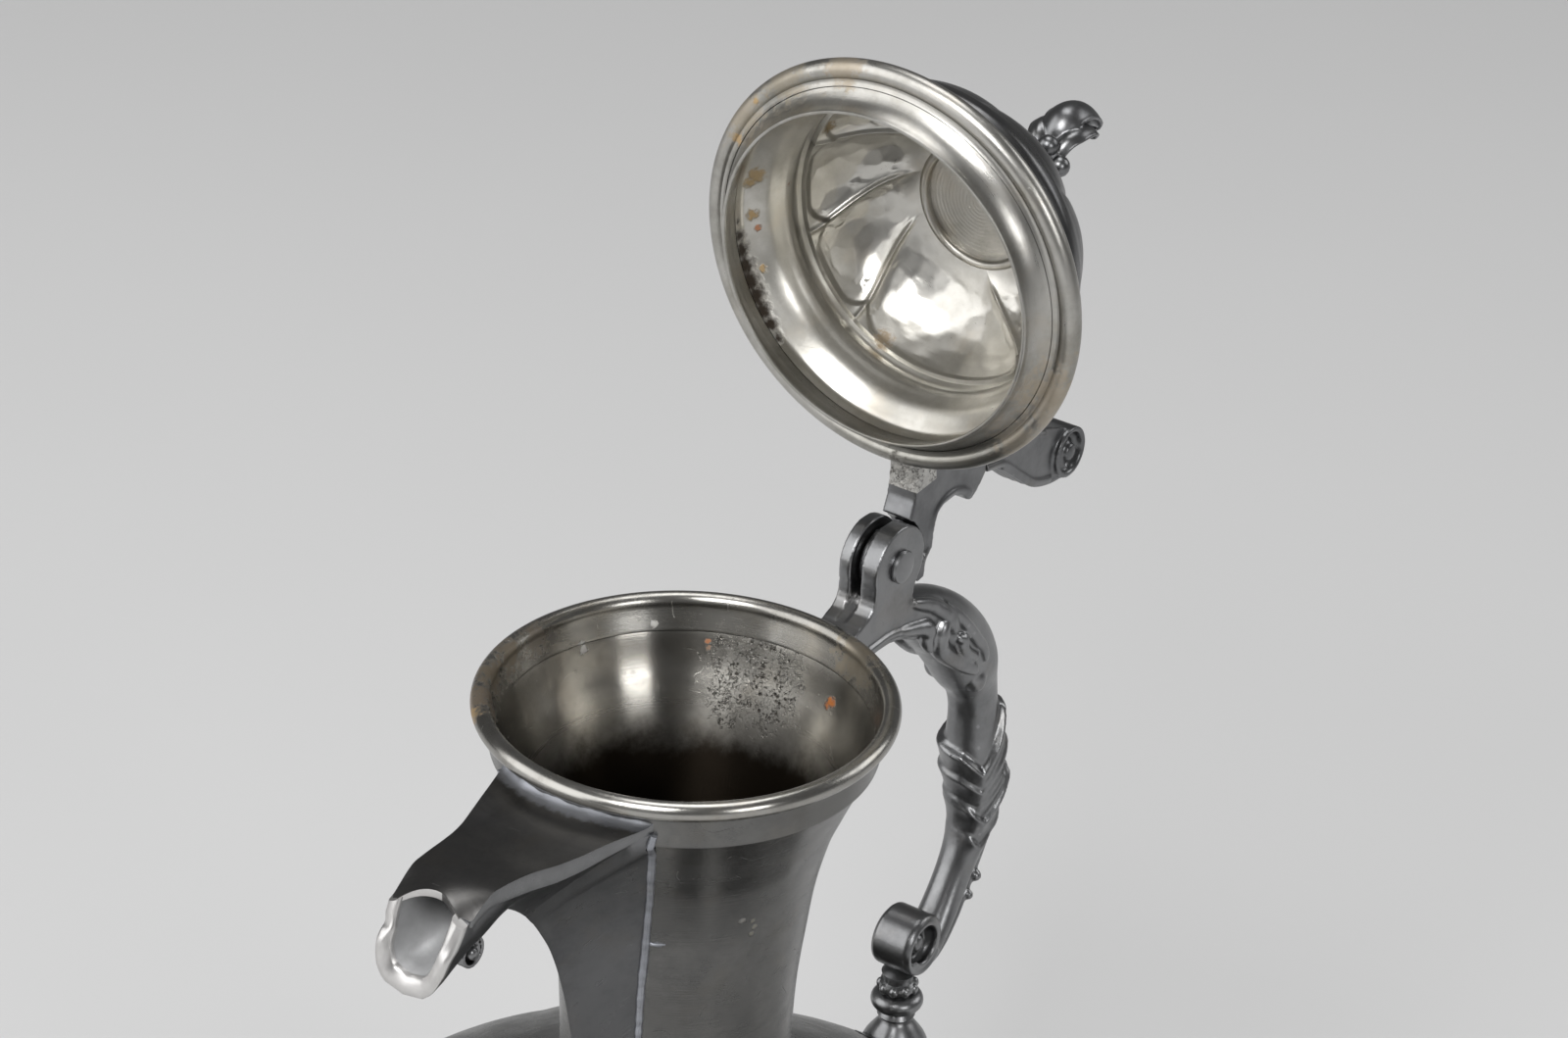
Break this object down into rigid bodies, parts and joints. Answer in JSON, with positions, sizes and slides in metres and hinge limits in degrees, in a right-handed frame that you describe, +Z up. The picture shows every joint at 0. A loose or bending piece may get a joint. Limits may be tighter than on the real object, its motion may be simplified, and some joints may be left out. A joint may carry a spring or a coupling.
{
  "type": "wine jug",
  "caption": "Pewter wine jug with a flaring neck, covered beak spout, cast scroll handle and a swirled domed lid that turns on a hinge pin.",
  "frame": {"origin": "on the table, under the middle of the foot", "axes": "+Z up along the neck, +X towards the handle, -X towards the spout, +Y towards the side away from the picture's camera"},
  "size_m": [0.1955, 0.1562, 0.3172],
  "materials": {
    "body_pewter": "grey satin pewter with fine brushing",
    "rim_pewter": "pewter rubbed bright by use, tarnished tan in places",
    "lid_pewter": "pale warm pewter with planishing marks",
    "cast_pewter": "dark blue-grey cast pewter, satin"
  },
  "bodies": {
    "jug": {"foot": "body_pewter", "base_disc": "body_pewter", "foot_collar": "body_pewter", "belly_lower": "body_pewter", "belly_upper": "body_pewter", "neck": "body_pewter", "rim_collar": "rim_pewter", "spout_body": "body_pewter", "spout_cover": "body_pewter", "spout_scroll": "cast_pewter", "handle": "cast_pewter", "handle_post": "cast_pewter", "hinge_pin": "cast_pewter"},
    "lid": {"lid_rim": "lid_pewter", "lid_spigot": "lid_pewter", "lid_dome": "lid_pewter", "lid_crown": "lid_pewter", "finial_stem": "cast_pewter", "finial": "cast_pewter", "lid_arm": "cast_pewter", "thumbpiece": "cast_pewter"}
  },
  "joints": [
    {"name": "lid_hinge", "type": "hinge", "parent": "jug", "child": "lid", "pos_m": [0.05592, 0, 0.22458], "axis": [0, 1, 0], "range_deg": [-84.84, 0]}
  ]
}
